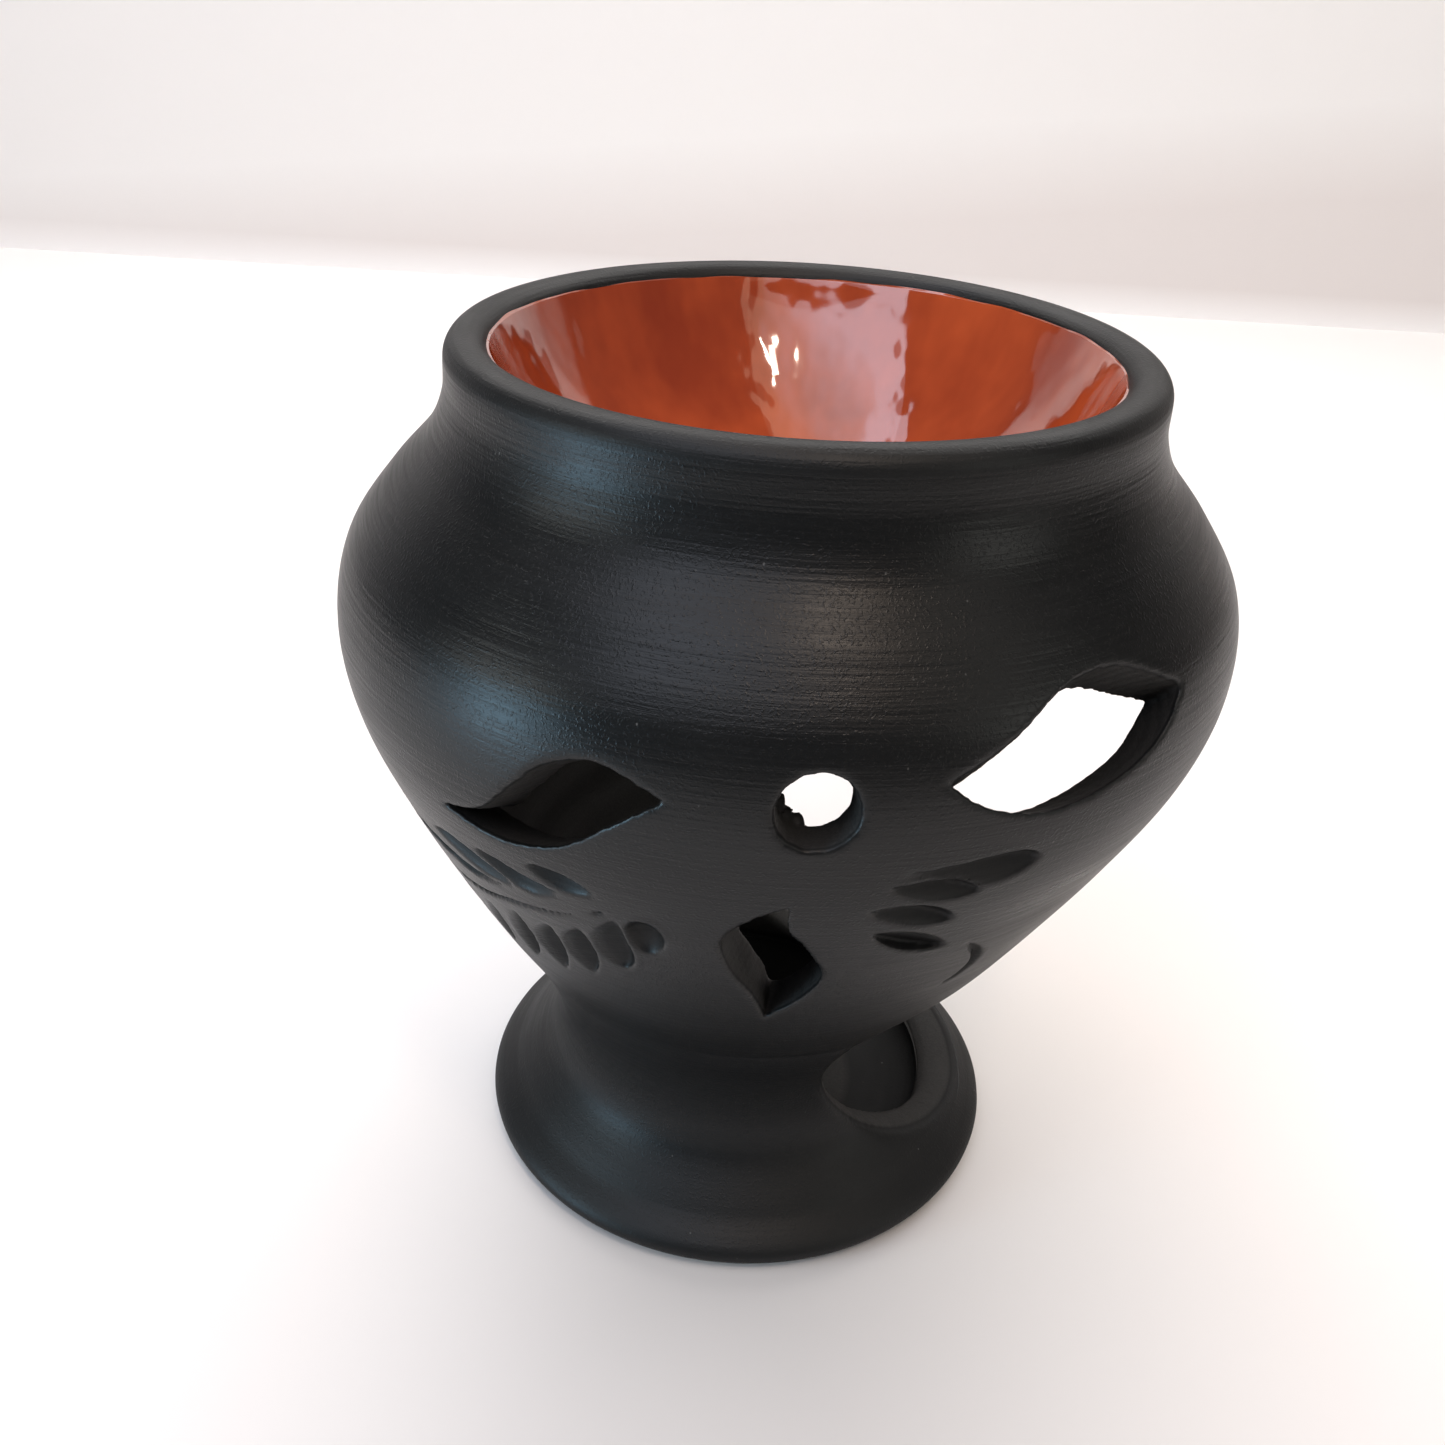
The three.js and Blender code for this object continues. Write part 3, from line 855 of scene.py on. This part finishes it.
def glaze_edge(angle):
    """How far up the lip's round the glaze's brushed edge goes, in radians. It waves a little."""
    wave = 0.05 * np.sin(3 * angle + 0.4) + 0.035 * np.sin(7 * angle + 1.3)
    return RIM_ANGLE + 0.1 + wave + 0.03 * np.sin(17 * angle) + 0.018 * np.sin(29 * angle + 2)


def glaze_face(offset, upwards):
    """The glaze's surface, from its edge on the lip down to the middle of the bowl. Its first part,
    the rim, lies on the lip's round. It bites a little into the clay, and thins out to its edge."""
    rim = 0.12

    def curve(t, angle):
        s = 1 - t if upwards else t
        on_lip = RIM_ANGLE + (glaze_edge(angle) - RIM_ANGLE) * (1 - s / rim)
        turn = RIM_ANGLE + (np.pi / 2 - RIM_ANGLE) * np.clip((s - rim) / (1 - rim), 0, 1)
        thickness = offset * smoothstep(-0.02, 0.2, s) - GLAZE_BITE
        tube, ball = LIP_RADIUS + thickness, BOWL_RADIUS - thickness
        return (
            np.where(s < rim, LIP_CENTRE_RADIUS - tube * np.cos(on_lip), ball * np.cos(turn)),
            np.where(
                s < rim,
                LIP_CENTRE_HEIGHT + tube * np.sin(on_lip),
                BOWL_CENTRE_HEIGHT - ball * np.sin(turn),
            ),
        )

    return curve


def bowl_glaze():
    sections = [(glaze_face(0, True), 50, BARE), (glaze_face(GLAZE_THICKNESS, False), 50, BARE)]
    return turned_piece("bowl_glaze_layer", sections, 300)


# ---- Materials -----------------------------------------------------------------------------------


class Nodes:
    """A short way to write a material's nodes."""

    def __init__(self, name):
        self.material = bpy.data.materials.new(name)
        self.material.use_nodes = True
        self.tree = self.material.node_tree
        self.tree.nodes.clear()
        self.shader = self.add("ShaderNodeBsdfPrincipled")
        output = self.add("ShaderNodeOutputMaterial")
        self.tree.links.new(self.shader.outputs[0], output.inputs["Surface"])

    def add(self, kind, **settings):
        node = self.tree.nodes.new(kind)
        for key, value in settings.items():
            setattr(node, key, value)
        return node

    def set(self, node, key, value):
        """Puts a number, a colour or another node's output into an input."""
        socket = node.inputs[key]
        if isinstance(value, bpy.types.NodeSocket):
            self.tree.links.new(value, socket)
        else:
            socket.default_value = value

    def place(self):
        return self.add("ShaderNodeTexCoord").outputs["Object"]

    def along(self, axis):
        """How far along the object's X, Y or Z axis the point is, in metres."""
        node = self.add("ShaderNodeSeparateXYZ")
        self.set(node, 0, self.place())
        return node.outputs[axis]

    def facing(self):
        return self.add("ShaderNodeLayerWeight").outputs["Facing"]

    def dust(self):
        """1 in a few small specks, 0 elsewhere."""
        specks = self.add("ShaderNodeTexVoronoi")
        self.set(specks, "Vector", self.stretched((300, 300, 210)))
        self.set(specks, "Scale", 1.0)
        small = self.spread(specks.outputs["Distance"], 0.02, 0.04, 1, 0)
        some = self.spread(self.noise(self.place(), 90, 1), 0.45, 0.52, 0, 1)
        return self.math("MULTIPLY", small, some)

    def attribute(self, name):
        return self.add("ShaderNodeAttribute", attribute_name=name).outputs["Fac"]

    def stretched(self, scale, turn=(0, 0, 0)):
        """The place on the object, with its own scale along each axis."""
        node = self.add("ShaderNodeMapping")
        self.set(node, "Vector", self.place())
        self.set(node, "Scale", scale)
        self.set(node, "Rotation", turn)
        return node.outputs["Vector"]

    def noise(self, vector, scale=1.0, detail=3.0):
        node = self.add("ShaderNodeTexNoise")
        self.set(node, "Vector", vector)
        self.set(node, "Scale", scale)
        self.set(node, "Detail", detail)
        self.set(node, "Roughness", 0.55)
        return node.outputs["Fac"]

    def math(self, operation, a, b):
        node = self.add("ShaderNodeMath", operation=operation)
        self.set(node, 0, a)
        self.set(node, 1, b)
        return node.outputs[0]

    def spread(self, value, low, high, to_low, to_high):
        """Moves a value from one range to another, and keeps it inside."""
        node = self.add("ShaderNodeMapRange")
        for key, number in zip(
            ("Value", "From Min", "From Max", "To Min", "To Max"), (value, low, high, to_low, to_high)
        ):
            self.set(node, key, number)
        return node.outputs["Result"]

    def blend(self, part, first, second):
        """Mixes two colours. The mix node's sockets for colours share their names with others, so
        they go by number."""
        factor, colour_a, colour_b, mixed_colour = 0, 6, 7, 2
        node = self.add("ShaderNodeMix", data_type="RGBA")
        self.set(node, factor, part)
        self.set(node, colour_a, first)
        self.set(node, colour_b, second)
        return node.outputs[mixed_colour]

    def bump(self, height, distance, strength, under=None):
        node = self.add("ShaderNodeBump")
        self.set(node, "Height", height)
        self.set(node, "Distance", distance)
        self.set(node, "Strength", strength)
        if under is not None:
            self.set(node, "Normal", under)
        return node.outputs["Normal"]


def black_clay():
    """Black fired clay: burnished with a stone in level strokes outside, left bare where it is cut
    and inside. Fine grains in the burnished skin catch the light, and a little dust lies on it."""
    n = Nodes("black_clay")
    polish_and_shade = n.attribute("polish_and_shade")
    height = n.along("Z")

    strokes = n.noise(n.stretched((45, 45, 2600)), detail=4)
    slanting = n.noise(n.stretched((90, 90, 2200), (0.22, 0.14, 0)), detail=3)
    fine = n.math("ADD", strokes, slanting)
    grain = n.noise(n.place(), 3600, 2)
    grits = n.spread(n.noise(n.place(), 3000, 1), 0.54, 0.7, 0, 1)
    patches = n.noise(n.stretched((40, 40, 90)), detail=3)

    bare = n.blend(grain, (0.016, 0.016, 0.016, 1), (0.045, 0.043, 0.041, 1))
    burnished = n.blend(patches, (0.005, 0.0058, 0.0066, 1), (0.0095, 0.0093, 0.009, 1))
    # Burnished clay is darker than bare clay; on the floor's rounding the darker colour is painted
    # shade.
    clay = n.blend(n.spread(polish_and_shade, 0.1, 0.45, 0, 1), bare, burnished)
    n.set(n.shader, "Base Color", n.blend(n.dust(), clay, (0.09, 0.088, 0.085, 1)))

    worn_foot = n.spread(height, 0.03, 0.056, 0.14, 0)
    unpolished = n.spread(polish_and_shade, 0.4, 1, 0.3, 0)
    worn = n.math("ADD", worn_foot, unpolished)
    patchy = n.spread(patches, 0.35, 0.65, 0.26, 0.33)
    streaked = n.math("ADD", patchy, n.spread(fine, 0.8, 1.2, 0, 0.05))
    n.set(n.shader, "Roughness", n.math("ADD", streaked, worn))
    n.set(n.shader, "Specular IOR Level", n.spread(n.facing(), 0.25, 0.85, 0.3, 0.06))

    brushed = n.bump(fine, 0.00005, n.spread(height, 0.055, 0.09, 0.3, 0.95))
    gritty = n.bump(grits, 0.00003, n.spread(polish_and_shade, 0.4, 1, 0.2, 0.5), brushed)
    n.set(n.shader, "Normal", n.bump(grain, 0.00003, n.spread(polish_and_shade, 0, 1, 1, 0.5), gritty))
    return n.material


def orange_glaze():
    """Glossy burnt orange glaze, thicker and darker in streaks that ran down the bowl."""
    n = Nodes("orange_glaze")
    streaks = n.noise(n.stretched((130, 130, 14)), detail=3)
    clouds = n.noise(n.place(), 60, 3)
    part = n.spread(n.math("ADD", streaks, clouds), 0.75, 1.3, 0, 1)
    n.set(n.shader, "Base Color", n.blend(part, (0.42, 0.058, 0.014, 1), (0.68, 0.115, 0.028, 1)))
    n.set(n.shader, "Roughness", 0.06)
    n.set(n.shader, "IOR", 1.8)
    n.set(n.shader, "Coat Weight", 0.6)
    n.set(n.shader, "Coat Roughness", 0.03)
    ripples = n.noise(n.stretched((120, 120, 70)), detail=2)
    n.set(n.shader, "Normal", n.bump(ripples, 0.0012, 0.45))
    return n.material


# ---- The pieces take their places ----------------------------------------------------------------

CLAY = black_clay()
GLAZE = orange_glaze()
skin = wall_skin()
PIECES = [
    (base_slab(), "base_slab", "black_clay", CLAY),
    (wall_piece("foot_wall_clay", FLOOR, WAIST_JOINT, skin), "foot_wall", "black_clay", CLAY),
    (
        wall_piece("lower_belly_clay", WAIST_JOINT, BELLY_JOINT, skin),
        "lower_belly_wall", "black_clay", CLAY,
    ),
    (
        wall_piece("upper_belly_clay", BELLY_JOINT, NECK_JOINT, skin),
        "upper_belly_wall", "black_clay", CLAY,
    ),
    (neck_ring(), "neck_ring", "black_clay", CLAY),
    (lip_coil(), "lip_coil", "black_clay", CLAY),
    (oil_bowl(), "oil_bowl", "black_clay", CLAY),
    (bowl_glaze(), "bowl_glaze", "orange_glaze", GLAZE),
]
for piece, node, slot, material in PIECES:
    piece.data.materials.clear()
    piece.data.materials.append(material)
    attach(piece, "root")
    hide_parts(node)

# ---- Table, wall and light -----------------------------------------------------------------------
# Places are in metres here.


def pale_wall():
    """A pale wall with a soft shadow low on it, that grows higher to the right. It fades into the
    table at its foot."""
    n = Nodes("pale_wall")
    shadow_slope = 0.104
    fade = 0.014
    above = n.math("SUBTRACT", n.along("Z"), n.math("MULTIPLY", n.along("X"), shadow_slope))
    part = n.spread(above, 0.03, 0.07, 0, 1)
    shaded = n.blend(part, (0.78, 0.73, 0.71, 1), (0.88, 0.86, 0.845, 1))
    off_table = n.spread(n.along("Z"), 0, fade, 0, 1)
    n.set(n.shader, "Base Color", n.blend(off_table, (0.98, 0.96, 0.95, 1), shaded))
    n.set(n.shader, "Roughness", 0.8)
    return n.material


def white_table():
    """A white table that falls into shade in front."""
    n = Nodes("white_table")
    lit = n.spread(n.along("Y"), -0.42, -0.18, 0, 1)
    n.set(n.shader, "Base Color", n.blend(lit, (0.3, 0.29, 0.28, 1), (0.88, 0.85, 0.835, 1)))
    n.set(n.shader, "Roughness", 0.5)
    return n.material


def ceiling_glow():
    """The lit ceiling: bluish near the window, and warm and weaker on the other side."""
    n = Nodes("ceiling_glow")
    part = n.spread(n.attribute("across"), 0.5, 0.95, 0, 1)
    n.set(n.shader, "Base Color", (0, 0, 0, 1))
    n.set(n.shader, "Emission Color", n.blend(part, (0.83, 0.9, 1.05, 1), (0.42, 0.3, 0.22, 1)))
    n.set(n.shader, "Emission Strength", 2.75)
    return n.material


def sheet(name, corners, material):
    """One flat face. It carries how far across it each corner is, from 0 to 1."""
    mesh = bpy.data.meshes.new(name)
    mesh.from_pydata(corners, [], [(0, 1, 2, 3)])
    mesh.attributes.new("across", "FLOAT", "POINT").data.foreach_set("value", [0, 1, 1, 0])
    mesh.materials.append(material)
    stage = bpy.data.objects.new(name, mesh)
    bpy.context.scene.collection.objects.link(stage)
    return stage


def all_but(piece):
    """A set of things for a light to fall on that leaves out one piece."""
    receivers = bpy.data.collections.new("all_but_" + piece.name)
    receivers.objects.link(piece)
    receivers.collection_objects[0].light_linking.link_state = "EXCLUDE"
    return receivers


def soft_light(name, azimuth, elevation, distance, size, radiance, colour, receivers=None):
    """A rectangular soft light that faces the pot, as bright as asked all over its face. It falls on
    everything, or only on its receivers."""
    data = bpy.data.lights.new(name, "AREA")
    data.shape = "RECTANGLE"
    data.size, data.size_y = size
    data.energy = math.pi * size[0] * size[1] * radiance
    data.color = colour
    light = bpy.data.objects.new(name, data)
    bpy.context.scene.collection.objects.link(light)
    a, e = math.radians(azimuth), math.radians(elevation)
    away = Vector((math.sin(a) * math.cos(e), -math.cos(a) * math.cos(e), math.sin(e)))
    middle = Vector((0, 0, cad_high.z / 2))
    light.location = middle + away * distance
    light.rotation_mode = "QUATERNION"
    light.rotation_quaternion = away.to_track_quat("Z", "Y")
    light.visible_camera = False
    light.light_linking.receiver_collection = receivers


TABLE_REACH = 3
TABLE_EDGE = 0.514
WALL_TOP = 0.5
CEILING = 1.055
sheet(
    "table",
    [
        (-TABLE_REACH, -TABLE_REACH, 0),
        (TABLE_REACH, -TABLE_REACH, 0),
        (TABLE_REACH, TABLE_EDGE, 0),
        (-TABLE_REACH, TABLE_EDGE, 0),
    ],
    white_table(),
)
sheet(
    "wall",
    [
        (-TABLE_REACH, TABLE_EDGE, 0),
        (TABLE_REACH, TABLE_EDGE, 0),
        (TABLE_REACH, TABLE_EDGE, WALL_TOP),
        (-TABLE_REACH, TABLE_EDGE, WALL_TOP),
    ],
    pale_wall(),
)
ceiling = sheet(
    "ceiling",
    [(-1.09, -1.2, CEILING), (0.63, -1.2, CEILING), (-0.04, 0.42, CEILING), (-0.39, 0.42, CEILING)],
    ceiling_glow(),
)
ceiling.visible_camera = False

# Each light has its azimuth, elevation, distance, size, radiance and colour. The first three only
# fill the shade, and leave out the glaze, which would mirror their square outlines.
glaze_piece = PIECES[-1][0]
clay_only = all_but(glaze_piece)
soft_light("back", 180, 54, 0.62, (1.1, 0.5), 3.1, (1, 0.97, 0.95), clay_only)
soft_light("right_low", 60, 18, 1.2, (0.5, 0.4), 1.9, (1, 1, 0.93), clay_only)
soft_light("right_high", 58, 47, 1.2, (0.5, 0.4), 0.8, (1, 0.95, 0.87), clay_only)
soft_light("window", -61, 1, 0.35, (0.11, 0.12), 9.8, (0.44, 0.76, 1))
soft_light("window_top", -66, 18, 0.6, (0.25, 0.14), 3.4, (1, 1, 0.93))
soft_light("lamp", 19, 59, 1, (0.035, 0.2), 60, (1, 0.83, 0.68))

world = bpy.data.worlds.new("room")
bpy.context.scene.world = world
world.use_nodes = True
background = world.node_tree.nodes["Background"]
background.inputs["Color"].default_value = (1, 0.98, 0.96, 1)
background.inputs["Strength"].default_value = 0.08
bpy.context.scene.view_settings.view_transform = "Standard"
